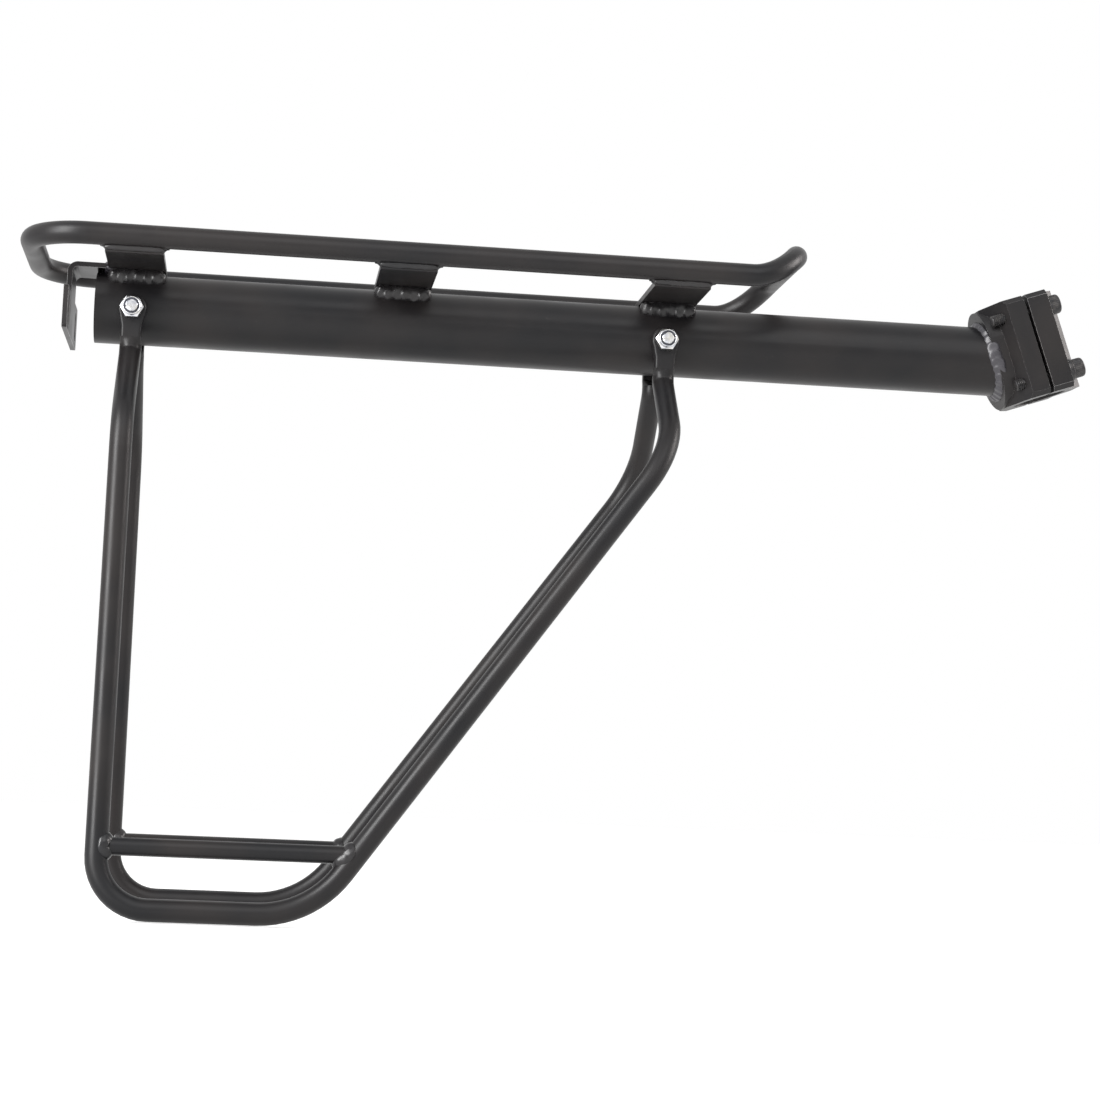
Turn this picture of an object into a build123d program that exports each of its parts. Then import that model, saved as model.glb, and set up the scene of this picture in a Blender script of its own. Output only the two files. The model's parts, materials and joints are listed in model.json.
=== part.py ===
from build123d import *
import os
from math import cos, radians, sin, tan

os.makedirs("parts", exist_ok=True)

# Bicycle rear rack that clamps to the seatpost. Millimetres. +X points forward, +Y to the
# left of the bicycle, +Z up. The origin is the centre of the seatpost bore.

# ---- seatpost clamp ------------------------------------------------------------------
POST_D = 27.2            # seatpost that the bore takes
TILT = 19.0              # lean of the seatpost from vertical, top towards the rear, degrees
CLAMP_H = 52.0           # height of the clamp along the bore
CLAMP_GAP = 1.8          # slit between the two halves
EAR_HALF_W = 25.0        # half width across the bolted ears
EAR_CHAMFER = 2.5
BODY_EAR = 10.5          # rear edge of the body's ears, from the bore axis
CAP_EAR = 11.9           # front face of the cap's ears, from the bore axis
NOSE = 20.0              # front of the cap and back of the body's web, from the bore axis
NOSE_HALF_W = 7.5        # half width of those two flats
SEAT_HALF_W = 13.5       # where the cap's screw seats end and its arch begins
EAR_MIDDLE_Y = 19.5      # the ears lie outside this, on both sides of the bore
NECK_BACK = 21.5         # rear face of the neck that the beam is welded to
NECK_W = 36.0            # width of the neck, whose top and bottom are half round

# ---- main beam and platform ----------------------------------------------------------
BEAM_D = 35.0
BEAM_WALL = 2.0
BEAM_Z = -NECK_BACK * sin(radians(TILT))
BEAM_REAR = -476.0
PLATE_T = 3.0            # cross plates between beam and rails
PLATE_L = 28.0
PLATE_REAR_X = -456.0    # centres of the cross plates
PLATE_MIDDLE_X = -324.0
PLATE_FRONT_X = -189.5
PLATE_Z = BEAM_Z + BEAM_D / 2
WELD_L = 25.0            # length of the welds under each cross plate
WELD_INNER_Y = 11.0
WELD_OUTER_Y = 14.8
WELD_TAPER = 1.2         # how much narrower a weld is at its lower end
WELD_DROP = 6.0          # how far those welds reach down the beam
RAIL_D = 11.0
RAIL_HALF_W = 56.0       # half the distance between the axes of the two rails
RAIL_Z = PLATE_Z + PLATE_T + RAIL_D / 2
HOOP_REAR = -507.0       # axis of the hoop's rear crossing
HOOP_REAR_R = 28.5
HOOP_FRONT = -129.0      # axis of the hoop's raised front crossing
HOOP_FRONT_HALF = 32.0   # half the length of its straight part
HOOP_RISE = 15.2         # height of the front crossing above the rails
TURN_X = -155.0          # here the rails start to rise and to turn in
TURN_REACH = 14.0        # how far the turn's pull points lie past its ends
CROSS_REACH = 12.7

# ---- side frames ---------------------------------------------------------------------
ROD_D = 10.8
CROSSBAR_D = 8.5
BOLT_REAR_X = -457.2
BOLT_FRONT_X = -191.7
BOLT_Z = BEAM_Z - 3.0
TAB_W = 14.0             # pressed flat end that is bolted to the beam
TAB_NECK_W = 10.2        # where it narrows to the rod
TAB_NECK_DROP = 9.0      # depth below the bolt at which it has narrowed
TAB_T = 5.0
TAB_EDGE_R = 1.5         # rounding of its outer edges
TAB_Y = BEAM_D / 2       # inner face of the pressed end
TAB_END = BEAM_Z - 17.0
ROD_TOP = TAB_END - 3.5  # where the pressed end has become round rod
ROD_TOP_Y = 17.2
SHOULDER_Z = BEAM_Z - 24.2
SHOULDER_R = 7.0
KNEE_Z = BEAM_Z - 63.0   # where the splay ends and the legs begin
KNEE_Y = 58.5
KNEE_REAR_R = 35.0
KNEE_FRONT_R = 43.0
FOOT_Z = BEAM_Z - 293.8
FOOT_Y = 71.0
FOOT_REAR_R = 24.5
FOOT_FRONT_R = 48.5
LEG_LEAN = 35.65         # slope of the front leg, degrees from vertical
CROSSBAR_Z = BEAM_Z - 264.9

# ---- fasteners -----------------------------------------------------------------------
M6_D = 6.0
FIT = 0.05               # radial room of a screw in a close hole or a thread
HEAD_D = 10.0
HEAD_H = 6.0
HEAD_CHAMFER = 0.6
SOCKET_AF = 5.0
SOCKET_DEPTH = 3.0
TIP_CHAMFER = 0.5
BOLT_L = 53.0
NUT_AF = 10.0
NUT_H = 5.0              # steel hexagon of a nylon insert nut
COLLAR_D = 9.0           # round collar that holds the nylon ring
COLLAR_H = 2.6
RING_D = 7.6
RING_H = 2.2             # the ring sits a little below the collar's rim
SCREW_L = 31.0
SCREW_Y = 19.5           # clamp screws left and right of the bore
SCREW_W = 17.3           # and above and below the middle of the clamp
CAP_HOLE_D = 6.6
WASHER_D = 11.8
WASHER_T = 2.2           # only under the two lower screws

# ---- lamp bracket --------------------------------------------------------------------
LAMP_X = -490.0          # rear face of the lamp plate
LAMP_T = 2.5
LAMP_W = 71.0
LAMP_TOP = BEAM_Z + 4.5
LAMP_BOTTOM = BEAM_Z - 16.5
LAMP_CORNER_R = 1.5
LAMP_TAB_W = 30.0
LAMP_BEND_R = 5.0        # outside of the bend
LAMP_SLOT_W = 6.0
LAMP_SLOT_L = 15.0
LAMP_SLOT_PITCH = 50.0

# Plane across the middle of the bore: local x runs forward, local z up along the bore.
bore_plane = Plane(
    origin=(0, 0, 0),
    x_dir=(cos(radians(TILT)), 0, sin(radians(TILT))),
    z_dir=(-sin(radians(TILT)), 0, cos(radians(TILT))),
)
forward = bore_plane.x_dir
screw_spots = [(y, w) for w in (SCREW_W, -SCREW_W) for y in (-SCREW_Y, SCREW_Y)]


def clamp_section(distance):
    """Plane square to the clamp screws, the given distance in front of the bore axis.
    Local x runs along +Y and local y up along the bore."""
    return Plane(origin=forward * distance, x_dir=(0, 1, 0), z_dir=forward)


def bolt_plane(x, y):
    """Plane square to the frame bolts at one side of the beam, looking to the right."""
    return Plane(origin=(x, y, BOLT_Z), x_dir=(1, 0, 0), z_dir=(0, -1, 0))


def finish(builder, name):
    """Label a finished piece and write it."""
    builder.part.label = name
    export_step(builder.part, f"parts/{name}.step")


# ---- main beam: round tube, open at the rear, cut square to the clamp's neck ---------
with BuildPart() as main_beam:
    with BuildSketch(Plane.YZ.offset(BEAM_REAR)):
        with Locations((0, BEAM_Z)):
            Circle(BEAM_D / 2)
            Circle(BEAM_D / 2 - BEAM_WALL, mode=Mode.SUBTRACT)
    extrude(amount=-BEAM_REAR)
    split(bisect_by=clamp_section(-NECK_BACK), keep=Keep.BOTTOM)
    with Locations(bolt_plane(BOLT_REAR_X, 0), bolt_plane(BOLT_FRONT_X, 0)):
        Hole(M6_D / 2 + FIT)
finish(main_beam, "main_beam")

# ---- platform hoop: one bent rod with level rails and a raised front end -------------
front_z = RAIL_Z + HOOP_RISE
with BuildPart() as platform_hoop:
    with BuildLine():
        Line((HOOP_FRONT, 0, front_z), (HOOP_FRONT, HOOP_FRONT_HALF, front_z))
        Bezier(
            (HOOP_FRONT, HOOP_FRONT_HALF, front_z),
            (HOOP_FRONT, HOOP_FRONT_HALF + CROSS_REACH, front_z),
            (TURN_X + TURN_REACH, RAIL_HALF_W, RAIL_Z),
            (TURN_X, RAIL_HALF_W, RAIL_Z),
        )
        FilletPolyline(
            (TURN_X, RAIL_HALF_W, RAIL_Z),
            (HOOP_REAR, RAIL_HALF_W, RAIL_Z),
            (HOOP_REAR, 0, RAIL_Z),
            radius=HOOP_REAR_R,
        )
        mirror(about=Plane.XZ)
    with BuildSketch(Plane(origin=(HOOP_FRONT, 0, front_z), z_dir=(0, 1, 0))):
        Circle(RAIL_D / 2)
    sweep()
finish(platform_hoop, "platform_hoop")

# ---- cross plates: flat bars on the beam, with the welds that hold them --------------
brackets = (
    ("rear_bracket", PLATE_REAR_X),
    ("middle_bracket", PLATE_MIDDLE_X),
    ("front_bracket", PLATE_FRONT_X),
)
for bracket_name, bracket_x in brackets:
    with BuildPart() as bracket:
        with BuildSketch(Plane.XY.offset(PLATE_Z)):
            with Locations((bracket_x, 0)):
                Rectangle(PLATE_L, 2 * RAIL_HALF_W)
        extrude(amount=PLATE_T)
        with BuildSketch(Plane.YZ.offset(bracket_x - WELD_L / 2)):
            with BuildLine():
                Polyline(
                    (WELD_INNER_Y, PLATE_Z),
                    (WELD_OUTER_Y, PLATE_Z),
                    (WELD_OUTER_Y - WELD_TAPER, PLATE_Z - WELD_DROP),
                    (WELD_INNER_Y, PLATE_Z - WELD_DROP),
                    close=True,
                )
            make_face()
            mirror(about=Plane.YZ)
            with Locations((0, BEAM_Z)):
                Circle(BEAM_D / 2, mode=Mode.SUBTRACT)
        extrude(amount=WELD_L)
    finish(bracket, bracket_name)

# ---- lamp bracket: bent strip welded to the rear cross plate, with a slotted plate ----
lamp_middle_z = (LAMP_TOP + LAMP_BOTTOM) / 2
with BuildPart() as lamp_bracket:
    with BuildSketch(Plane.XZ.offset(-LAMP_TAB_W / 2)):
        with BuildLine():
            FilletPolyline(
                (PLATE_REAR_X - PLATE_L / 2, PLATE_Z + LAMP_T / 2),
                (LAMP_X + LAMP_T / 2, PLATE_Z + LAMP_T / 2),
                (LAMP_X + LAMP_T / 2, lamp_middle_z),
                radius=LAMP_BEND_R - LAMP_T / 2,
            )
        trace(line_width=LAMP_T)
    extrude(amount=LAMP_TAB_W)
    with BuildSketch(Plane.YZ.offset(LAMP_X)):
        with Locations((0, lamp_middle_z)):
            RectangleRounded(LAMP_W, LAMP_TOP - LAMP_BOTTOM, LAMP_CORNER_R)
    extrude(amount=LAMP_T)
    with BuildSketch(Plane.YZ.offset(LAMP_X)):
        with Locations(
            (-LAMP_SLOT_PITCH / 2, lamp_middle_z), (LAMP_SLOT_PITCH / 2, lamp_middle_z)
        ):
            SlotOverall(LAMP_SLOT_L, LAMP_SLOT_W, rotation=90)
    extrude(amount=LAMP_T, mode=Mode.SUBTRACT)
finish(lamp_bracket, "lamp_bracket")

# ---- side frames: one bent rod each, its two ends pressed flat and bolted to the beam --
front_foot_x = BOLT_FRONT_X - (KNEE_Z - FOOT_Z) * tan(radians(LEG_LEAN))
tab_face_y = TAB_Y + TAB_T
with BuildPart() as side_frame_left:
    for bolt_x in (BOLT_REAR_X, BOLT_FRONT_X):
        with BuildSketch(bolt_plane(bolt_x, tab_face_y)):
            Circle(TAB_W / 2)
            Polygon(
                (TAB_W / 2, 0),
                (TAB_NECK_W / 2, -TAB_NECK_DROP),
                (TAB_NECK_W / 2, TAB_END - BOLT_Z),
                (-TAB_NECK_W / 2, TAB_END - BOLT_Z),
                (-TAB_NECK_W / 2, -TAB_NECK_DROP),
                (-TAB_W / 2, 0),
                align=None,
            )
        extrude(amount=TAB_T)
    rounded_edges = (
        side_frame_left.edges()
        .filter_by_position(Axis.Y, tab_face_y, tab_face_y)
        .filter_by_position(Axis.Z, TAB_END, BOLT_Z + TAB_W, inclusive=(False, True))
    )
    fillet(rounded_edges, TAB_EDGE_R)
    for bolt_x in (BOLT_REAR_X, BOLT_FRONT_X):
        with BuildSketch(Plane.XY.offset(ROD_TOP)):
            with Locations((bolt_x, ROD_TOP_Y)):
                Circle(ROD_D / 2)
        with BuildSketch(Plane.XY.offset(TAB_END)):
            with Locations((bolt_x, TAB_Y + TAB_T / 2)):
                RectangleRounded(TAB_NECK_W, TAB_T, TAB_EDGE_R)
        loft()
    with BuildSketch(bolt_plane(BOLT_REAR_X, tab_face_y)):
        with Locations((0, 0), (BOLT_FRONT_X - BOLT_REAR_X, 0)):
            Circle(M6_D / 2 + FIT)
    extrude(amount=TAB_T, mode=Mode.SUBTRACT)
    with BuildLine():
        FilletPolyline(
            (BOLT_REAR_X, ROD_TOP_Y, ROD_TOP),
            (BOLT_REAR_X, ROD_TOP_Y, SHOULDER_Z),
            (BOLT_REAR_X, KNEE_Y, KNEE_Z),
            (BOLT_REAR_X, FOOT_Y, FOOT_Z),
            (front_foot_x, FOOT_Y, FOOT_Z),
            (BOLT_FRONT_X, KNEE_Y, KNEE_Z),
            (BOLT_FRONT_X, ROD_TOP_Y, SHOULDER_Z),
            (BOLT_FRONT_X, ROD_TOP_Y, ROD_TOP),
            radius=[
                SHOULDER_R, KNEE_REAR_R, FOOT_REAR_R, FOOT_FRONT_R, KNEE_FRONT_R, SHOULDER_R
            ],
        )
    with BuildSketch(Plane.XY.offset(ROD_TOP)):
        with Locations((BOLT_REAR_X, ROD_TOP_Y)):
            Circle(ROD_D / 2)
    sweep()
finish(side_frame_left, "side_frame_left")

with BuildPart() as side_frame_right:
    mirror(side_frame_left.part, about=Plane.XZ)
finish(side_frame_right, "side_frame_right")

# ---- crossbars: thin rods coped and welded between the legs of each side frame --------
crossbar_y = KNEE_Y + (FOOT_Y - KNEE_Y) * (KNEE_Z - CROSSBAR_Z) / (KNEE_Z - FOOT_Z)
crossbar_front_x = BOLT_FRONT_X - (KNEE_Z - CROSSBAR_Z) * tan(radians(LEG_LEAN))
with BuildPart() as crossbar_left:
    with BuildSketch(Plane.YZ.offset(BOLT_REAR_X)):
        with Locations((crossbar_y, CROSSBAR_Z)):
            Circle(CROSSBAR_D / 2)
    extrude(amount=crossbar_front_x - BOLT_REAR_X)
    add(side_frame_left.part, mode=Mode.SUBTRACT)
finish(crossbar_left, "crossbar_left")

with BuildPart() as crossbar_right:
    mirror(crossbar_left.part, about=Plane.XZ)
finish(crossbar_right, "crossbar_right")

# ---- frame bolts and nylon insert nuts ------------------------------------------------
frame_half_w = TAB_Y + TAB_T
for place, bolt_x in (("rear", BOLT_REAR_X), ("front", BOLT_FRONT_X)):
    with BuildPart() as frame_bolt:
        with BuildSketch(bolt_plane(bolt_x, frame_half_w + HEAD_H)):
            Circle(HEAD_D / 2)
        extrude(amount=HEAD_H)
        chamfer(frame_bolt.edges().sort_by(Axis.Y)[-1], HEAD_CHAMFER)
        with BuildSketch(bolt_plane(bolt_x, frame_half_w)):
            Circle(M6_D / 2)
        extrude(amount=BOLT_L)
        chamfer(frame_bolt.edges().sort_by(Axis.Y)[0], TIP_CHAMFER)
        with BuildSketch(bolt_plane(bolt_x, frame_half_w + HEAD_H)):
            RegularPolygon(SOCKET_AF / 2, 6, major_radius=False)
        extrude(amount=SOCKET_DEPTH, mode=Mode.SUBTRACT)
    finish(frame_bolt, f"frame_bolt_{place}")

    with BuildPart() as frame_nut:
        with BuildSketch(bolt_plane(bolt_x, -frame_half_w)):
            RegularPolygon(NUT_AF / 2, 6, major_radius=False)
            Circle(M6_D / 2 + FIT, mode=Mode.SUBTRACT)
        extrude(amount=NUT_H)
        with BuildSketch(bolt_plane(bolt_x, -frame_half_w - NUT_H)):
            Circle(COLLAR_D / 2)
            Circle(RING_D / 2, mode=Mode.SUBTRACT)
        extrude(amount=COLLAR_H)
    finish(frame_nut, f"frame_nut_{place}")

    with BuildPart() as nut_insert:
        with BuildSketch(bolt_plane(bolt_x, -frame_half_w - NUT_H)):
            Circle(RING_D / 2)
            Circle(M6_D / 2 + FIT, mode=Mode.SUBTRACT)
        extrude(amount=RING_H)
    finish(nut_insert, f"nut_insert_{place}")

# ---- clamp body: rear half of the clamp, with the neck that the beam is welded to ------
with BuildPart() as clamp_body:
    with BuildSketch(bore_plane.offset(-CLAMP_H / 2)):
        with BuildLine():
            Polyline(
                (-CLAMP_GAP / 2, EAR_HALF_W),
                (-BODY_EAR, EAR_HALF_W),
                (-NOSE, NOSE_HALF_W),
                (-NOSE, -NOSE_HALF_W),
                (-BODY_EAR, -EAR_HALF_W),
                (-CLAMP_GAP / 2, -EAR_HALF_W),
                close=True,
            )
        make_face()
    extrude(amount=CLAMP_H)
    ear_edges = clamp_body.edges().filter_by(Axis(origin=(0, 0, 0), direction=forward))
    chamfer(ear_edges, EAR_CHAMFER)
    with BuildSketch(clamp_section(-NECK_BACK)):
        SlotOverall(CLAMP_H, NECK_W, rotation=90)
    extrude(amount=NECK_BACK - BODY_EAR)
    with BuildSketch(bore_plane.offset(-CLAMP_H / 2)):
        Circle(POST_D / 2)
    extrude(amount=CLAMP_H, mode=Mode.SUBTRACT)
    with BuildSketch(clamp_section(-CLAMP_GAP / 2)):
        with Locations(*screw_spots):
            Circle(M6_D / 2 + FIT)
    extrude(amount=-(NECK_BACK - CLAMP_GAP / 2), mode=Mode.SUBTRACT)
finish(clamp_body, "clamp_body")

# ---- clamp cap: front half, pulled on to the seatpost by the four screws ---------------
with BuildPart() as clamp_cap:
    with BuildSketch(bore_plane.offset(-CLAMP_H / 2)):
        with BuildLine():
            Polyline(
                (CLAMP_GAP / 2, EAR_HALF_W),
                (CAP_EAR, EAR_HALF_W),
                (CAP_EAR, SEAT_HALF_W),
                (NOSE, NOSE_HALF_W),
                (NOSE, -NOSE_HALF_W),
                (CAP_EAR, -SEAT_HALF_W),
                (CAP_EAR, -EAR_HALF_W),
                (CLAMP_GAP / 2, -EAR_HALF_W),
                close=True,
            )
        make_face()
        Circle(POST_D / 2, mode=Mode.SUBTRACT)
    extrude(amount=CLAMP_H)
    ear_edges = (
        clamp_cap.edges()
        .filter_by(Axis(origin=(0, 0, 0), direction=forward))
        .filter_by(lambda edge: abs(edge.center().Y) > EAR_MIDDLE_Y)
    )
    chamfer(ear_edges, EAR_CHAMFER)
    with BuildSketch(clamp_section(CLAMP_GAP / 2)):
        with Locations(*screw_spots):
            Circle(CAP_HOLE_D / 2)
    extrude(amount=NOSE, mode=Mode.SUBTRACT)
finish(clamp_cap, "clamp_cap")

# ---- clamp screws: the two lower ones have thick washers -------------------------------
for i, (screw_y, screw_w) in enumerate(screw_spots, start=1):
    seat = CAP_EAR
    if screw_w < 0:
        with BuildPart() as clamp_washer:
            with BuildSketch(clamp_section(CAP_EAR)):
                with Locations((screw_y, screw_w)):
                    Circle(WASHER_D / 2)
                    Circle(CAP_HOLE_D / 2, mode=Mode.SUBTRACT)
            extrude(amount=WASHER_T)
        finish(clamp_washer, f"clamp_washer_{i}")
        seat = CAP_EAR + WASHER_T
    under_head = seat + FIT

    with BuildPart() as clamp_screw:
        with BuildSketch(clamp_section(under_head)):
            with Locations((screw_y, screw_w)):
                Circle(HEAD_D / 2)
        extrude(amount=HEAD_H)
        chamfer(clamp_screw.edges().sort_by(Axis((0, 0, 0), forward))[-1], HEAD_CHAMFER)
        with BuildSketch(clamp_section(under_head - SCREW_L)):
            with Locations((screw_y, screw_w)):
                Circle(M6_D / 2)
        extrude(amount=SCREW_L)
        chamfer(clamp_screw.edges().sort_by(Axis((0, 0, 0), forward))[0], TIP_CHAMFER)
        with BuildSketch(clamp_section(under_head + HEAD_H)):
            with Locations((screw_y, screw_w)):
                RegularPolygon(SOCKET_AF / 2, 6, major_radius=False)
        extrude(amount=-SOCKET_DEPTH, mode=Mode.SUBTRACT)
    finish(clamp_screw, f"clamp_screw_{i}")
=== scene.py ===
"""Looks for the seatpost-mounted bicycle rear rack: coatings, weld beads and detailed fasteners.

Metres, in the part's own frame: +X forward, +Y to the left, +Z up, with the origin at the
centre of the seatpost bore.
"""
import json
from math import cos, pi, radians, sin, sqrt, tan

import bmesh
import bpy
from mathutils import Matrix, Vector, noise


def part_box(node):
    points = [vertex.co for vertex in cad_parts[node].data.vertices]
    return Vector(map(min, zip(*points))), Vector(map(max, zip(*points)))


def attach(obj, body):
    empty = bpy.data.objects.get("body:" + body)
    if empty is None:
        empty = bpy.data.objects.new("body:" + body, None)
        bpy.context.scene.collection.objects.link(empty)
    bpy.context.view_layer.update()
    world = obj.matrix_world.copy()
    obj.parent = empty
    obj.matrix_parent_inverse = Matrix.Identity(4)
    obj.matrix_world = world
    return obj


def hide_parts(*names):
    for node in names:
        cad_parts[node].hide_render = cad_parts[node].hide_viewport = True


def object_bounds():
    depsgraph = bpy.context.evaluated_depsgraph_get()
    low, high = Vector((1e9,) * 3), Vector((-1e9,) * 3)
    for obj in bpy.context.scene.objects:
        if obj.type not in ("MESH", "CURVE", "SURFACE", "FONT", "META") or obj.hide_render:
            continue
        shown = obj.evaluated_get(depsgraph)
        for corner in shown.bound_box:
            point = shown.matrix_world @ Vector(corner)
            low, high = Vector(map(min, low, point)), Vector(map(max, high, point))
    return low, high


MM = 0.001

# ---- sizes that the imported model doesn't state ----------------------------------------
PLATE_T = 3.0 * MM           # cross plates
RAIL_R = 5.5 * MM
ROD_R = 5.4 * MM
KNEE_DROP = 63.0 * MM        # from the beam's axis down to the side frames' knees
LEG_LEAN = radians(35.65)    # front legs, from vertical
LEG_SPLAY = 0.0542           # sideways run of the legs for each unit of drop
LAMP_TAB_HALF_W = 15.0 * MM
M6_R = 3.0 * MM
M6_PITCH = 1.0 * MM
THREAD_DEPTH = 0.5 * MM
GROOVE_REACH = 1.5           # more makes a thread's groove wider
GROOVE_SLOPE = 4.2           # more makes it narrower, with steeper flanks
THREAD_PLAY = 0.02 * MM      # how far the thread lies inside its CAD cylinder
HEAD_R = 5.0 * MM
HEAD_H = 6.0 * MM
SOCKET_AF = 5.0 * MM
SOCKET_DEPTH = 3.0 * MM
NUT_AF = 10.0 * MM
NUT_H = 5.0 * MM
COLLAR_R = 4.5 * MM
COLLAR_H = 2.6 * MM
RING_R = 3.8 * MM
BORE_R = 3.05 * MM

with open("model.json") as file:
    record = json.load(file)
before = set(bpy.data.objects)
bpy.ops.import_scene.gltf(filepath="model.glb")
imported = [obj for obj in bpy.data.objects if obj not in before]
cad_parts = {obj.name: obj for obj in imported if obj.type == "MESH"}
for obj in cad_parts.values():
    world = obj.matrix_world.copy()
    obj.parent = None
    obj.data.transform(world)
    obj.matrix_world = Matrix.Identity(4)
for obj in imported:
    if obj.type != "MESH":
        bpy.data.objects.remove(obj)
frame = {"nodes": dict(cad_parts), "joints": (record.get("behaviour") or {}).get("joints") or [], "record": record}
cad_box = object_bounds()
nodes = frame["nodes"]
mounts = {mount["name"]: mount for mount in frame["record"]["mounts"]}
joints = {joint["name"]: joint for joint in frame["joints"]}

up_bore = Vector(mounts["seatpost_clamp"]["axis"])
forward = Vector((up_bore.z, 0, -up_bore.x))


def reach(node, direction):
    """Lowest and highest place of a CAD node along a direction."""
    places = [vertex.co.dot(direction) for vertex in nodes[node].data.vertices]
    return min(places), max(places)


# ---- materials ------------------------------------------------------------------------
def new_material(name):
    """An empty node material: its node tree, its shader and its object coordinates."""
    material = bpy.data.materials.new(name)
    material.use_nodes = True
    tree = material.node_tree
    shader = tree.nodes["Principled BSDF"]
    place = tree.nodes.new("ShaderNodeTexCoord").outputs["Object"]
    return material, tree, shader, place


def noise_node(tree, place, scale, detail=2.0, roughness=0.5):
    """Noise whose scale is in features per metre."""
    node = tree.nodes.new("ShaderNodeTexNoise")
    node.inputs["Scale"].default_value = scale
    node.inputs["Detail"].default_value = detail
    node.inputs["Roughness"].default_value = roughness
    tree.links.new(place, node.inputs["Vector"])
    return node.outputs["Fac"]


def ramp(tree, value, *stops):
    """Colours at places along a value."""
    node = tree.nodes.new("ShaderNodeValToRGB")
    elements = node.color_ramp.elements
    while len(elements) < len(stops):
        elements.new(0.5)
    for element, (position, colour) in zip(elements, stops):
        element.position = position
        element.color = (*colour, 1)
    tree.links.new(value, node.inputs["Fac"])
    return node.outputs["Color"]


def spread(tree, value, low, high, start=0.3, end=0.7):
    """A value from start to end made to run from low to high."""
    node = tree.nodes.new("ShaderNodeMapRange")
    for name, number in zip(
        ("From Min", "From Max", "To Min", "To Max"), (start, end, low, high)
    ):
        node.inputs[name].default_value = number
    tree.links.new(value, node.inputs["Value"])
    return node.outputs["Result"]


def bump(tree, height, distance, strength, under=None):
    """A bump of that height in metres, on top of another."""
    node = tree.nodes.new("ShaderNodeBump")
    node.inputs["Distance"].default_value = distance
    node.inputs["Strength"].default_value = strength
    tree.links.new(height, node.inputs["Height"])
    if under is not None:
        tree.links.new(under, node.inputs["Normal"])
    return node.outputs["Normal"]


def mix(tree, share, first, second):
    """A colour between two, by share."""
    node = tree.nodes.new("ShaderNodeMix")
    node.data_type = "RGBA"
    tree.links.new(share, node.inputs["Factor"])
    for socket, colour in zip((node.inputs[6], node.inputs[7]), (first, second)):
        if isinstance(colour, tuple):
            socket.default_value = (*colour, 1)
        else:
            tree.links.new(colour, socket)
    return node.outputs[2]


def powder_coat(name, dark, light, smoothest, roughest, gloss):
    """Satin powder coat: orange peel, cloudy tone and a few faint handling scuffs."""
    material, tree, shader, place = new_material(name)
    clouds = noise_node(tree, place, 22, detail=3)
    tone = ramp(tree, clouds, (0.35, dark), (0.65, light))
    scuffs = spread(tree, noise_node(tree, place, 160, detail=6, roughness=0.7), 0, 0.6, 0.66, 0.80)
    colour = mix(tree, scuffs, tone, tuple(3.2 * channel for channel in light))
    tree.links.new(colour, shader.inputs["Base Color"])
    sheen = spread(tree, noise_node(tree, place, 45, detail=4), smoothest, roughest)
    tree.links.new(sheen, shader.inputs["Roughness"])
    peel = bump(tree, noise_node(tree, place, 900, detail=2), 0.06 * MM, 0.35)
    grain = bump(tree, noise_node(tree, place, 4200, detail=1), 0.02 * MM, 0.25, under=peel)
    tree.links.new(grain, shader.inputs["Normal"])
    shader.inputs["Specular IOR Level"].default_value = gloss
    return material


def black_oxide():
    """Oiled black oxide steel."""
    material, tree, shader, place = new_material("black_oxide_steel")
    blotches = noise_node(tree, place, 420, detail=4)
    tone = ramp(tree, blotches, (0.3, (0.012, 0.012, 0.014)), (0.7, (0.040, 0.037, 0.036)))
    tree.links.new(tone, shader.inputs["Base Color"])
    sheen = spread(tree, noise_node(tree, place, 900, detail=3), 0.24, 0.46)
    tree.links.new(sheen, shader.inputs["Roughness"])
    skin = bump(tree, noise_node(tree, place, 3500, detail=2), 0.03 * MM, 0.35)
    tree.links.new(skin, shader.inputs["Normal"])
    shader.inputs["Metallic"].default_value = 0.55
    shader.inputs["Specular IOR Level"].default_value = 0.6
    return material


def zinc_plate():
    """Bright zinc plate with the faint bands of its passivation."""
    material, tree, shader, place = new_material("zinc_plated_steel")
    blotches = noise_node(tree, place, 260, detail=3)
    tone = ramp(
        tree,
        blotches,
        (0.30, (0.42, 0.44, 0.49)),
        (0.52, (0.60, 0.60, 0.61)),
        (0.72, (0.55, 0.53, 0.48)),
    )
    tree.links.new(tone, shader.inputs["Base Color"])
    sheen = spread(tree, noise_node(tree, place, 700, detail=4), 0.16, 0.34)
    tree.links.new(sheen, shader.inputs["Roughness"])
    skin = bump(tree, noise_node(tree, place, 2600, detail=2), 0.02 * MM, 0.3)
    tree.links.new(skin, shader.inputs["Normal"])
    shader.inputs["Metallic"].default_value = 1.0
    return material


def nylon():
    """Dark moulded nylon."""
    material, tree, shader, place = new_material("dark_nylon")
    flow = noise_node(tree, place, 600, detail=3)
    tone = ramp(tree, flow, (0.3, (0.012, 0.014, 0.022)), (0.7, (0.026, 0.028, 0.040)))
    tree.links.new(tone, shader.inputs["Base Color"])
    tree.links.new(spread(tree, flow, 0.38, 0.52), shader.inputs["Roughness"])
    skin = bump(tree, noise_node(tree, place, 5000, detail=1), 0.02 * MM, 0.3)
    tree.links.new(skin, shader.inputs["Normal"])
    return material


FLOOR_GLOW = 0.56


def pale_floor():
    """Matt studio floor, very slightly uneven. Its own glow brings it level with the white
    room, so that it has no horizon and only faint shadows."""
    material, tree, shader, place = new_material("pale_floor")
    clouds = noise_node(tree, place, 1.5)
    tone = ramp(tree, clouds, (0.3, (0.44, 0.44, 0.44)), (0.7, (0.46, 0.46, 0.455)))
    tree.links.new(tone, shader.inputs["Base Color"])
    shader.inputs["Emission Color"].default_value = (1, 1, 1, 1)
    shader.inputs["Emission Strength"].default_value = FLOOR_GLOW
    shader.inputs["Roughness"].default_value = 0.8
    shader.inputs["Specular IOR Level"].default_value = 0.1
    return material


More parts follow.
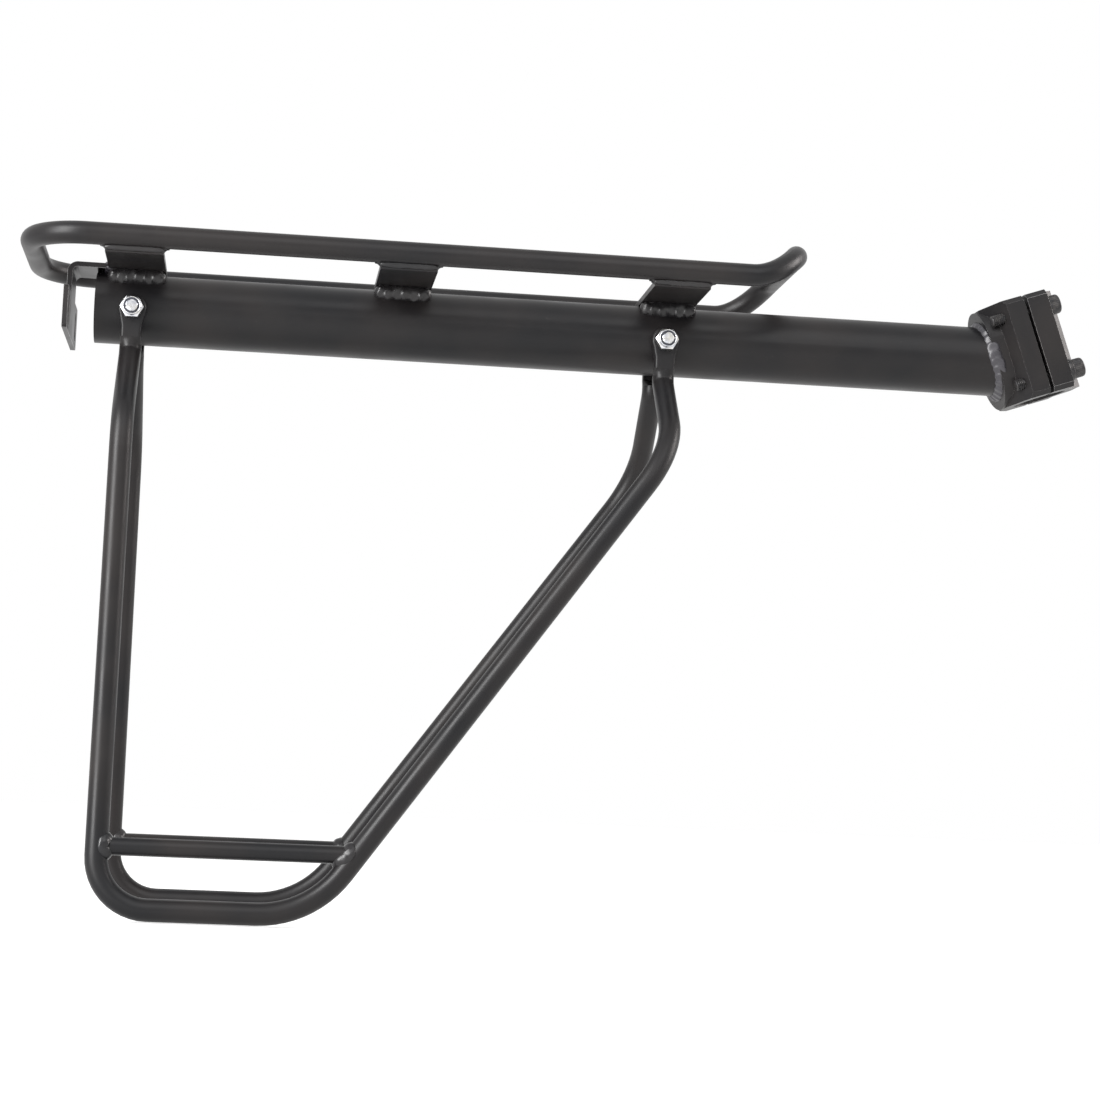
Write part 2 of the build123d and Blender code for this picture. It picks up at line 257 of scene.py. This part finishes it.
coat = powder_coat(
    "black_powder_coat", (0.0050, 0.0050, 0.0058), (0.0110, 0.0094, 0.0092), 0.32, 0.44, 0.23
)
# Paler coat for rounded edges: a painted highlight along edges that catch the light
highlight_coat = powder_coat(
    "painted_edge_highlight", (0.10, 0.10, 0.105), (0.20, 0.19, 0.185), 0.24, 0.36, 0.6
)
seam_coat = powder_coat(
    "coated_seam", (0.0055, 0.0055, 0.0065), (0.0125, 0.0112, 0.0115), 0.24, 0.38, 0.38
)
weld_coat = powder_coat(
    "coated_weld", (0.014, 0.0135, 0.0165), (0.030, 0.028, 0.033), 0.32, 0.44, 0.5
)
oxide = black_oxide()
zinc = zinc_plate()
ring_nylon = nylon()


# ---- mesh tools -----------------------------------------------------------------------
def piece(name, mesh_builder, material, body, replaced=(), sharp_angle=32):
    """Turns a filled bmesh into a piece that rides on a body. Edges past the sharp angle, in
    degrees, stay crisp."""
    bmesh.ops.recalc_face_normals(mesh_builder, faces=mesh_builder.faces)
    mesh = bpy.data.meshes.new(name)
    mesh_builder.to_mesh(mesh)
    mesh_builder.free()
    mesh.materials.append(material)
    mesh.shade_smooth()
    mesh.set_sharp_from_angle(angle=radians(sharp_angle))
    made = bpy.data.objects.new(name, mesh)
    bpy.context.scene.collection.objects.link(made)
    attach(made, body)
    if replaced:
        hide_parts(*replaced)
    return made


def bridge(mesh_builder, rings, closed):
    """Faces between rings of points. A ring of one point closes an end."""
    pairs = list(zip(rings, rings[1:]))
    if closed:
        pairs.append((rings[-1], rings[0]))
    for first, second in pairs:
        count = max(len(first), len(second))
        for k in range(count):
            after = (k + 1) % count
            if len(first) == 1:
                corners = (first[0], second[after], second[k])
            elif len(second) == 1:
                corners = (first[k], first[after], second[0])
            else:
                corners = (first[k], first[after], second[after], second[k])
            mesh_builder.faces.new(corners)


def turned(mesh_builder, rows, origin, axis, start, sides, closed=False):
    """A lathe-like shape. Each row is a radius and a height, and either may be a function of
    the angle. A radius of 0 closes an end."""
    across = axis.cross(start)
    rings = []
    for radius, height in rows:
        if radius == 0:
            rings.append([mesh_builder.verts.new(origin + axis * height)])
            continue
        ring = []
        for k in range(sides):
            angle = 2 * pi * k / sides
            r = radius(angle) if callable(radius) else radius
            h = height(angle) if callable(height) else height
            spoke = start * cos(angle) + across * sin(angle)
            ring.append(mesh_builder.verts.new(origin + axis * h + spoke * r))
        rings.append(ring)
    bridge(mesh_builder, rings, closed)


def hexagon(across_flats):
    """Radius of a hexagon by angle, with a corner at angle 0."""
    return lambda angle: across_flats / 2 / cos(angle % (pi / 3) - pi / 6)


def knurl(radius, depth=0.14 * MM, teeth=36):
    """Radius of a knurled cylinder by angle."""
    return lambda angle: radius - depth * (0.5 - 0.5 * cos(teeth * angle))


def thread(height):
    """Radius of an M6 thread at a height, by angle."""
    def radius(angle):
        turn = (height / M6_PITCH - angle / (2 * pi)) % 1
        groove = min(1, max(0, GROOVE_REACH - abs(turn - 0.5) * GROOVE_SLOPE))
        return M6_R - THREAD_PLAY - THREAD_DEPTH * groove
    return radius


def capped(radius, limit):
    """A radius by angle that never passes a limit."""
    return lambda angle: min(radius(angle), limit)


# ---- fasteners ------------------------------------------------------------------------
HEAD_ROUND = 0.9 * MM
HEAD_SIDES = 144
SEAT_IN = 0.5 * MM           # a head's underside is flat up to this far from its rim
SEAT_ROUND = 0.15 * MM
SEAT_HOLLOW = 0.2 * MM
CROWN_IN = 0.1 * MM          # a head's smooth top is this much smaller than its knurl
SHANK_SINK = 0.5 * MM        # how far the shank starts inside the head
SHANK_SIDES = 28
KNURL_START = 0.35           # lowest knurled ring above the seat, in mm
KNURL_STEP = 0.85            # and the distance between rings
KNURL_RINGS = 6
SOCKET_MOUTH_R = 3.02 * MM
SOCKET_CHAMFER = 0.3 * MM
SOCKET_POINT = 0.5 * MM      # depth of the drilled point under the socket
THREAD_STEP = M6_PITCH / 7
ROUND_STEPS = 5
NUT_FACE_R = 4.72 * MM
NUT_CHAMFER = radians(30)
NUT_SIDES = 72
NUT_MOUTH = 0.4 * MM         # chamfer where the bolt enters a nut
COLLAR_FOOT_OUT = 0.12 * MM  # small flare where the collar leaves the hexagon
COLLAR_FOOT_UP = 0.15 * MM
RING_SEAT_UP = 0.02 * MM     # the floor that the nylon ring lies on, at its rim
RING_SEAT_DOWN = 0.1 * MM    # and at the bore
LIP_STEPS = 8
BOLT_PLAIN = 36 * MM         # plain shank of a frame bolt
BOLT_TIP_CHAMFER = 0.25 * MM
SCREW_PLAIN = 9 * MM         # plain shank of a clamp screw
SCREW_TIP_CHAMFER = 0.6 * MM
SCREW_TURN = 17              # degrees by which each screw's socket differs from the last


def socket_screw(name, node, under_head, tip, tip_chamfer, axis, start, thread_from, look, body):
    """Socket head screw with a knurled head and a real thread. Axis points out of the head,
    under_head is the middle of the head's seat, and tip and thread_from are depths below it."""
    builder = bmesh.new()
    socket = hexagon(SOCKET_AF)
    rows = [(0, SEAT_HOLLOW), (HEAD_R - SEAT_IN, 0.0), (HEAD_R - SEAT_ROUND, SEAT_ROUND)]
    knurl_rows = [KNURL_START + KNURL_STEP * k for k in range(KNURL_RINGS)]
    rows += [(knurl(HEAD_R), height * MM) for height in knurl_rows]
    for k in range(ROUND_STEPS + 1):
        angle = pi / 2 * k / ROUND_STEPS
        rows.append((
            HEAD_R - CROWN_IN - HEAD_ROUND * (1 - cos(angle)),
            HEAD_H - HEAD_ROUND + HEAD_ROUND * sin(angle),
        ))
    floor = HEAD_H - SOCKET_DEPTH
    rows += [
        (SOCKET_MOUTH_R, HEAD_H), (socket, HEAD_H - SOCKET_CHAMFER),
        (socket, floor), (0, floor - SOCKET_POINT),
    ]
    turned(builder, rows, under_head, axis, start, HEAD_SIDES)

    plain_r = M6_R - THREAD_PLAY
    shank = [(0, SHANK_SINK), (plain_r, SHANK_SINK), (plain_r, -thread_from)]
    count = int((tip - thread_from) / THREAD_STEP)
    for k in range(1, count + 1):
        height = -thread_from - (tip - thread_from) * k / count
        limit = M6_R - tip_chamfer + max(0, height + tip)
        shank.append((capped(thread(height), limit), height))
    shank.append((0, -tip))
    turned(builder, shank, under_head, axis, start, SHANK_SIDES)
    return piece(name, builder, look, body, [node])


def insert_nut(name, node, seat, axis):
    """Nylon insert nut: chamfered hexagon with a rolled collar. Its ring stays a CAD node."""
    builder = bmesh.new()
    outline = hexagon(NUT_AF)
    slope = tan(NUT_CHAMFER)

    def low(angle):
        return max(0, outline(angle) - NUT_FACE_R) * slope

    def high(angle):
        return NUT_H - max(0, outline(angle) - NUT_FACE_R) * slope

    rows = [(BORE_R + NUT_MOUTH, 0.0), (NUT_FACE_R, 0.0), (outline, low), (outline, high)]
    rows.append((NUT_FACE_R, NUT_H))
    rows += [(COLLAR_R + COLLAR_FOOT_OUT, NUT_H), (COLLAR_R, NUT_H + COLLAR_FOOT_UP)]
    lip = (COLLAR_R - RING_R) / 2
    for k in range(LIP_STEPS + 1):
        angle = pi * k / LIP_STEPS
        rows.append((RING_R + lip + lip * cos(angle), NUT_H + COLLAR_H - lip + lip * sin(angle)))
    rows += [(RING_R, NUT_H + RING_SEAT_UP), (BORE_R, NUT_H - RING_SEAT_DOWN), (BORE_R, NUT_MOUTH)]
    turned(builder, rows, seat, axis, Vector((1, 0, 0)), NUT_SIDES, closed=True)
    return piece(name, builder, zinc, "rack", [node])


for place in ("rear", "front"):
    bolt_low, bolt_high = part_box(f"frame_bolt_{place}")
    nut_seat_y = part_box(f"frame_nut_{place}")[1].y
    bolt_x, bolt_z = (bolt_low.x + bolt_high.x) / 2, (bolt_low.z + bolt_high.z) / 2
    seat_y = bolt_high.y - HEAD_H
    socket_screw(
        f"frame_bolt_{place}_detail", f"frame_bolt_{place}",
        under_head=Vector((bolt_x, seat_y, bolt_z)), tip=seat_y - bolt_low.y,
        tip_chamfer=BOLT_TIP_CHAMFER,
        axis=Vector((0, 1, 0)), start=Vector((1, 0, 0)), thread_from=BOLT_PLAIN,
        look=zinc, body="rack",
    )
    insert_nut(
        f"frame_nut_{place}_detail", f"frame_nut_{place}",
        Vector((bolt_x, nut_seat_y, bolt_z)), Vector((0, -1, 0)),
    )

for i in range(1, 5):
    screw_low, screw_high = reach(f"clamp_screw_{i}", forward)
    screw_place = Vector(joints[f"clamp_screw_{i}_turn"]["pos_m"])
    screw_start = Matrix.Rotation(radians(SCREW_TURN * i), 3, forward) @ Vector((0, 1, 0))
    socket_screw(
        f"clamp_screw_{i}_detail", f"clamp_screw_{i}",
        under_head=screw_place + forward * (screw_high - HEAD_H),
        tip=screw_high - HEAD_H - screw_low, tip_chamfer=SCREW_TIP_CHAMFER,
        axis=forward, start=screw_start, thread_from=SCREW_PLAIN,
        look=oxide, body=f"clamp_screw_{i}",
    )


# ---- weld beads -----------------------------------------------------------------------
BEAD_STEP = 0.28 * MM
BEAD_SIDES = 24
RIPPLE_FRONT = 0.30          # share of each ripple that its steep front takes
EDGE_SHARE = 0.35            # how much of a ripple shows in the bead's outline
END_POWER = 7                # how suddenly a bead's ends close
END_LEAST = 0.02
LUMP_SIZE = 2.6 * MM
LUMP_TURN = 1.6              # how much the lumps differ across a bead
BEAD_SHARP = 80              # degrees; beads stay smooth up to this


def bead(
    name, path, crowns, half_w, height, pitch, closed=False, lump=0.10, lag=0.8, ripple=0.17, look=None
):
    """Weld bead along a path of points, each with the direction that its crown faces. Its
    surface is a row of overlapping ripples. half_w and height may be functions of the share
    of the way along. lump is how uneven the bead is, lag how far its ripples trail at the
    sides, in ripples, ripple how deep they are, as a share of the height, and look its
    material if not weld_coat."""
    builder = bmesh.new()
    lengths = [0.0]
    for first, second in zip(path, path[1:]):
        lengths.append(lengths[-1] + (second - first).length)
    total = lengths[-1]
    if closed:
        pitch = total / round(total / pitch)
    rings = []
    for k, (point, crown) in enumerate(zip(path, crowns)):
        before = path[k - 1] if k else (path[-2] if closed else point)
        after = path[k + 1] if k + 1 < len(path) else (path[1] if closed else point)
        along = (after - before).normalized()
        crown = (crown - along * crown.dot(along)).normalized()
        lateral = along.cross(crown)
        share = lengths[k] / total
        end = 1.0 if closed else max(0.0, 1 - abs(2 * share - 1) ** END_POWER) ** 0.5
        wide = (half_w(share) if callable(half_w) else half_w) * max(end, END_LEAST)
        tall = (height(share) if callable(height) else height) * max(end, END_LEAST)
        ring = []
        for j in range(BEAD_SIDES):
            angle = 2 * pi * j / BEAD_SIDES
            phase = (lengths[k] / pitch - lag * cos(angle) ** 2) % 1
            rise = phase / RIPPLE_FRONT if phase < RIPPLE_FRONT else (1 - phase) / (1 - RIPPLE_FRONT)
            dip = ripple * (0.5 + 0.5 * cos(pi * rise))
            rough = 1 + lump * noise.noise(point / LUMP_SIZE + Vector((0, 0, LUMP_TURN * cos(angle))))
            ring.append(builder.verts.new(
                point
                + lateral * wide * cos(angle) * rough * (1 - EDGE_SHARE * dip)
                + crown * tall * sin(angle) * rough * (1 - dip)
            ))
        rings.append(ring)
    if closed:
        for spare in rings.pop():
            builder.verts.remove(spare)
    else:
        rings = [[builder.verts.new(path[0])], *rings, [builder.verts.new(path[-1])]]
    bridge(builder, rings, closed)
    return piece(name, builder, look or weld_coat, "rack", sharp_angle=BEAD_SHARP)


def line_points(first, second):
    """Evenly spaced points on a straight run."""
    count = max(2, round((second - first).length / BEAD_STEP))
    return [first.lerp(second, k / count) for k in range(count + 1)]


def ring_angles(radius):
    """Angles round a ring, from the top and back to it."""
    count = round(2 * pi * radius / BEAD_STEP)
    return [pi / 2 + 2 * pi * k / count for k in range(count + 1)]


CORNER_R = 2.6 * MM
CORNER_SINK = 0.8 * MM       # how far a corner weld reaches into the metal
CORNER_STEPS = 14
CORNER_ARC_STEPS = 8
CORNER_LEAST = 0.35          # a corner weld's size at its ends, as a share of its middle
CORNER_POWER = 3             # how suddenly it shrinks there
CORNER_LUMP = 0.12           # how uneven it is
CORNER_LUMPS = 3             # and how often that changes along it
CORNER_START = -0.4          # where a corner weld starts from the rail's axis, in mm
CORNER_RUN = 4.4             # and how far it runs towards the beam


def corner_fillet(name, corner, outward, inward):
    """Hollow weld fillet in the corner between a rail's underside and the edge of a cross plate.
    Outward is the sign of X away from the plate, and inward the sign of Y towards the beam."""
    builder = bmesh.new()
    rings = []
    for k in range(CORNER_STEPS + 1):
        share = k / CORNER_STEPS
        shrink = CORNER_LEAST + (1 - CORNER_LEAST) * sqrt(1 - abs(2 * share - 1) ** CORNER_POWER)
        lumps = noise.noise(corner / MM + Vector((0, CORNER_LUMPS * share, 0)))
        radius = CORNER_R * shrink * (1 + CORNER_LUMP * lumps)
        outline = [(-CORNER_SINK, -CORNER_SINK), (radius, -CORNER_SINK)]
        for step in range(CORNER_ARC_STEPS + 1):
            angle = pi / 2 * step / CORNER_ARC_STEPS
            outline.append((radius * (1 - sin(angle)), radius * (1 - cos(angle))))
        outline.append((-CORNER_SINK, radius))
        y = corner.y + inward * (CORNER_START + CORNER_RUN * share) * MM
        rings.append([
            builder.verts.new((corner.x + outward * out, y, corner.z - down)) for out, down in outline
        ])
    bridge(builder, rings, False)
    builder.faces.new(rings[0])
    builder.faces.new(rings[-1])
    return piece(name, builder, seam_coat, "rack")


# beam to clamp neck
NECK_HALF_W, NECK_HALF_W_SWING = 3.6, 0.4    # mm; least at the top, most underneath
NECK_HEIGHT, NECK_HEIGHT_SWING = 2.0, 0.5    # mm; most at the top and underneath
NECK_LEDGE = 1.3             # more makes the bead face the neck further round to the sides

beam_low, beam_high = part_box("main_beam")
beam_r = (beam_high.y - beam_low.y) / 2
beam_z = beam_low.z + beam_r
neck_back = reach("clamp_body", forward)[0]
neck_path, neck_crowns = [], []
for angle in ring_angles(beam_r):
    y, z = beam_r * cos(angle), beam_z + beam_r * sin(angle)
    neck_path.append(Vector(((neck_back - z * forward.z) / forward.x, y, z)))
    ledge = min(1.0, NECK_LEDGE * abs(sin(angle)))
    neck_crowns.append(Vector((0, cos(angle), sin(angle))) - forward * ledge)
bead(
    "neck_weld", neck_path, neck_crowns,
    half_w=lambda share: (NECK_HALF_W - NECK_HALF_W_SWING * cos(2 * pi * share)) * MM,
    height=lambda share: (NECK_HEIGHT + NECK_HEIGHT_SWING * cos(4 * pi * share)) * MM,
    pitch=4.0 * MM, closed=True, lump=0.05, lag=0.5, ripple=0.19,
)

# cross plates to beam, rails and lamp bracket
BEAM_WELD_Y = 12.0 * MM
BEAM_WELD_DROP = 3.3 * MM
BEAM_WELD_FACE = (0.913, -0.407)             # outward and upward parts of its direction
BEAM_WELD_OVER = (0.6 * MM, 0.2 * MM)        # past the plate's back and front ends
RAIL_WELD_OUT = 0.2 * MM
RAIL_WELD_DROP = 0.9 * MM
RAIL_WELD_OVER = (0.4 * MM, 0.4 * MM)
INNER_WELD_IN = 4.0 * MM
INNER_WELD_RISE = 0.6 * MM
INNER_WELD_OVER = (1.5 * MM, 1.5 * MM)
LAMP_WELD_SINK = 0.4 * MM    # the upper lamp weld lies this far under the plate's top
LAMP_WELD_LIFT = 0.2 * MM    # and the lower one this far above its underside
LAMP_WELD_OVER = 0.8 * MM


def plate_run(ends, over, y, z):
    """Points along a plate's width in X, past its back and front ends by two lengths."""
    return line_points(Vector((ends[0] - over[0], y, z)), Vector((ends[1] + over[1], y, z)))


rail_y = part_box("platform_hoop")[1].y - RAIL_R
for place in ("rear", "middle", "front"):
    plate_low, plate_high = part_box(f"{place}_bracket")
    plate_x = (plate_low.x + plate_high.x) / 2
    plate_half_l = (plate_high.x - plate_low.x) / 2
    plate_ends = (plate_x - plate_half_l, plate_x + plate_half_l)
    plate_under = plate_high.z - PLATE_T
    for side, sign in (("left", 1), ("right", -1)):
        beam_run = plate_run(
            plate_ends, BEAM_WELD_OVER, sign * BEAM_WELD_Y, plate_under - BEAM_WELD_DROP
        )
        bead(
            f"{place}_beam_weld_{side}", beam_run,
            [Vector((0, sign * BEAM_WELD_FACE[0], BEAM_WELD_FACE[1]))] * len(beam_run),
            half_w=4.9 * MM, height=3.9 * MM, pitch=4.3 * MM, lump=0.16, lag=0.5, ripple=0.12,
            look=seam_coat,
        )
        outer_run = plate_run(
            plate_ends, RAIL_WELD_OVER,
            sign * (rail_y + RAIL_WELD_OUT), plate_high.z - RAIL_WELD_DROP,
        )
        bead(
            f"{place}_rail_weld_{side}", outer_run, [Vector((0, sign, -0.8))] * len(outer_run),
            half_w=1.6 * MM, height=1.1 * MM, pitch=3.2 * MM, lump=0.14, ripple=0.06, look=seam_coat,
        )
        for end, facing, edge_x in (("back", -1, plate_ends[0]), ("front", 1, plate_ends[1])):
            corner_fillet(
                f"{place}_corner_weld_{side}_{end}",
                Vector((edge_x, sign * rail_y, plate_high.z)), facing, -sign,
            )
        inner_run = plate_run(
            plate_ends, INNER_WELD_OVER,
            sign * (rail_y - INNER_WELD_IN), plate_high.z + INNER_WELD_RISE,
        )
        bead(
            f"{place}_rail_inner_weld_{side}", inner_run, [Vector((0, -sign, 1))] * len(inner_run),
            half_w=2.4 * MM, height=1.7 * MM, pitch=2.9 * MM, lump=0.2,
        )

rear_low, rear_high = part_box("rear_bracket")
for place, tab_z, facing in (
    ("top", rear_high.z - LAMP_WELD_SINK, 1),
    ("under", rear_high.z - PLATE_T + LAMP_WELD_LIFT, -1),
):
    tab_run = line_points(
        Vector((rear_low.x, -LAMP_TAB_HALF_W - LAMP_WELD_OVER, tab_z)),
        Vector((rear_low.x, LAMP_TAB_HALF_W + LAMP_WELD_OVER, tab_z)),
    )
    bead(
        f"lamp_tab_weld_{place}", tab_run, [Vector((-0.3, 0, facing))] * len(tab_run),
        half_w=3.0 * MM, height=1.6 * MM, pitch=2.8 * MM, lump=0.2,
    )

# crossbars to legs
front_bolt_low, front_bolt_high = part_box("frame_bolt_front")
front_leg_top_x = (front_bolt_low.x + front_bolt_high.x) / 2
rear_bolt_low, rear_bolt_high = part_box("frame_bolt_rear")
rear_leg_x = (rear_bolt_low.x + rear_bolt_high.x) / 2
for side, sign in (("left", 1), ("right", -1)):
    bar_low, bar_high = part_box(f"crossbar_{side}")
    bar_r = (bar_high.z - bar_low.z) / 2
    bar_y, bar_z = (bar_low.y + bar_high.y) / 2, (bar_low.z + bar_high.z) / 2
    knee_z = beam_z - KNEE_DROP
    for place, leg_x, lean, inward in (
        ("rear", rear_leg_x, 0.0, 1),
        ("front", front_leg_top_x - (knee_z - bar_z) * tan(LEG_LEAN), tan(LEG_LEAN), -1),
    ):
        leg_point = Vector((leg_x, bar_y, bar_z))
        leg_axis = Vector((lean, -sign * LEG_SPLAY, 1)).normalized()
        bar_path, bar_crowns = [], []
        for angle in ring_angles(bar_r):
            spoke = Vector((0, cos(angle), sin(angle)))
            base = spoke * bar_r
            bar_axis = Vector((inward, 0, 0))
            flat_base = base - leg_axis * base.dot(leg_axis)
            flat_axis = bar_axis - leg_axis * bar_axis.dot(leg_axis)
            a, b = flat_axis.dot(flat_axis), flat_base.dot(flat_axis)
            c = flat_base.dot(flat_base) - ROD_R ** 2
            run = (-b + sqrt(b * b - a * c)) / a
            bar_path.append(leg_point + base + bar_axis * run)
            bar_crowns.append(spoke + (flat_base + flat_axis * run) / ROD_R)
        bead(
            f"crossbar_weld_{place}_{side}", bar_path, bar_crowns,
            half_w=3.0 * MM, height=1.9 * MM, pitch=3.6 * MM, closed=True, lump=0.14, ripple=0.10,
            look=seam_coat,
        )


# ---- finishes of the CAD nodes --------------------------------------------------------
NODE_LOOKS = {"black_coat": coat, "black_screw": oxide, "zinc_steel": zinc, "nylon": ring_nylon}
EDGE_ROUNDS = {
    "clamp_body": 0.35, "clamp_cap": 0.35, "lamp_bracket": 0.3, "rear_bracket": 0.35,
    "middle_bracket": 0.35, "front_bracket": 0.35,
    "clamp_washer_3": 0.3, "clamp_washer_4": 0.3,
}                            # radii in mm
# Nodes whose rounded edges get the paler coat, a painted highlight along the edges
PAINTED_HIGHLIGHT_EDGES = ("clamp_body", "clamp_cap", "lamp_bracket")
JOIN_GAP = 0.002 * MM
FLAT_ANGLE = 0.6             # degrees; facets closer than this lie in one flat
EDGE_ANGLE = 35              # degrees; edges sharper than this are rounded
EDGE_SEGMENTS = 2


def round_edges(node, radius):
    """Rounds a CAD node's sharp edges as a coating does, with modifiers only. On the nodes named in the
    highlight-edge list the rounded strips get a paler coat, a painted highlight along the edges."""
    weld = node.modifiers.new("join_faces", "WELD")
    weld.merge_threshold = JOIN_GAP
    flats = node.modifiers.new("plain_flats", "DECIMATE")
    flats.decimate_type = "DISSOLVE"
    flats.angle_limit = radians(FLAT_ANGLE)
    rounding = node.modifiers.new("rounded_edges", "BEVEL")
    rounding.width = radius
    rounding.segments = EDGE_SEGMENTS
    rounding.limit_method = "ANGLE"
    rounding.angle_limit = radians(EDGE_ANGLE)
    rounding.use_clamp_overlap = True
    rounding.harden_normals = True
    if node.name in PAINTED_HIGHLIGHT_EDGES:
        node.data.materials.append(highlight_coat)
        rounding.material = 1


for subpart in frame["record"]["subparts"]:
    node = nodes[subpart["node"]]
    node.data.materials.clear()
    node.data.materials.append(NODE_LOOKS[subpart["material_slot"]])
    if node.name in EDGE_ROUNDS:
        round_edges(node, EDGE_ROUNDS[node.name] * MM)


# ---- studio ---------------------------------------------------------------------------
FLOOR_GAP = 0.5 * MM         # the floor lies this far under the feet
FLOOR_HALF = 12
FLOOR_CELLS = 8


def studio_floor():
    """Plain pale floor just under the feet."""
    builder = bmesh.new()
    bmesh.ops.create_grid(builder, x_segments=FLOOR_CELLS, y_segments=FLOOR_CELLS, size=FLOOR_HALF)
    mesh = bpy.data.meshes.new("studio_floor")
    builder.to_mesh(mesh)
    builder.free()
    mesh.materials.append(pale_floor())
    floor = bpy.data.objects.new("studio_floor", mesh)
    floor.location.z = cad_box[0].z - FLOOR_GAP
    bpy.context.scene.collection.objects.link(floor)


def softbox(name, place, aim, size, power, colour=(1, 1, 1)):
    """A rectangular soft light that faces a point."""
    light = bpy.data.lights.new(name, "AREA")
    light.shape = "RECTANGLE"
    light.size, light.size_y = size
    light.energy = power
    light.color = colour
    box = bpy.data.objects.new(name, light)
    box.location = place
    box.rotation_euler = (Vector(aim) - Vector(place)).to_track_quat("-Z", "Y").to_euler()
    bpy.context.scene.collection.objects.link(box)


studio_floor()
world = bpy.data.worlds.new("studio")
world.use_nodes = True
world.node_tree.nodes["Background"].inputs["Color"].default_value = (1, 1, 1, 1)
world.node_tree.nodes["Background"].inputs["Strength"].default_value = 1.0
bpy.context.scene.world = world
bpy.context.scene.view_settings.view_transform = "Standard"

softbox("key_softbox", (0.05, -1.35, 1.05), (-0.15, 0, 0), (1.3, 1.3), 10)
softbox("left_softbox", (-1.55, -1.1, 0.45), (-0.35, 0, -0.1), (0.7, 1.7), 70)
softbox("front_softbox", (1.5, 0.05, 0.62), (0, 0, 0), (0.7, 0.9), 24, (1, 0.94, 0.92))

CAMERA_PLACE = Vector((-0.3932, -1.3292, -0.2477))
YAW, PITCH, ROLL = 0.1122, 0.0978, 0.0409
SENSOR_W, LENS = 36.0, 87.19     # mm
ahead = Vector((sin(YAW) * cos(PITCH), cos(YAW) * cos(PITCH), sin(PITCH)))
level = Vector((cos(YAW), -sin(YAW), 0))
above = level.cross(ahead)
picture_x = level * cos(ROLL) + above * sin(ROLL)
picture_y = above * cos(ROLL) - level * sin(ROLL)
camera_data = bpy.data.cameras.new("camera")
camera_data.sensor_width = SENSOR_W
camera_data.lens = LENS
camera_data.clip_start, camera_data.clip_end = 0.05, 50
camera = bpy.data.objects.new("camera", camera_data)
camera.matrix_world = Matrix.Translation(CAMERA_PLACE) @ Matrix(
    (picture_x, picture_y, -ahead)
).transposed().to_4x4()
bpy.context.scene.collection.objects.link(camera)
bpy.context.scene.camera = camera
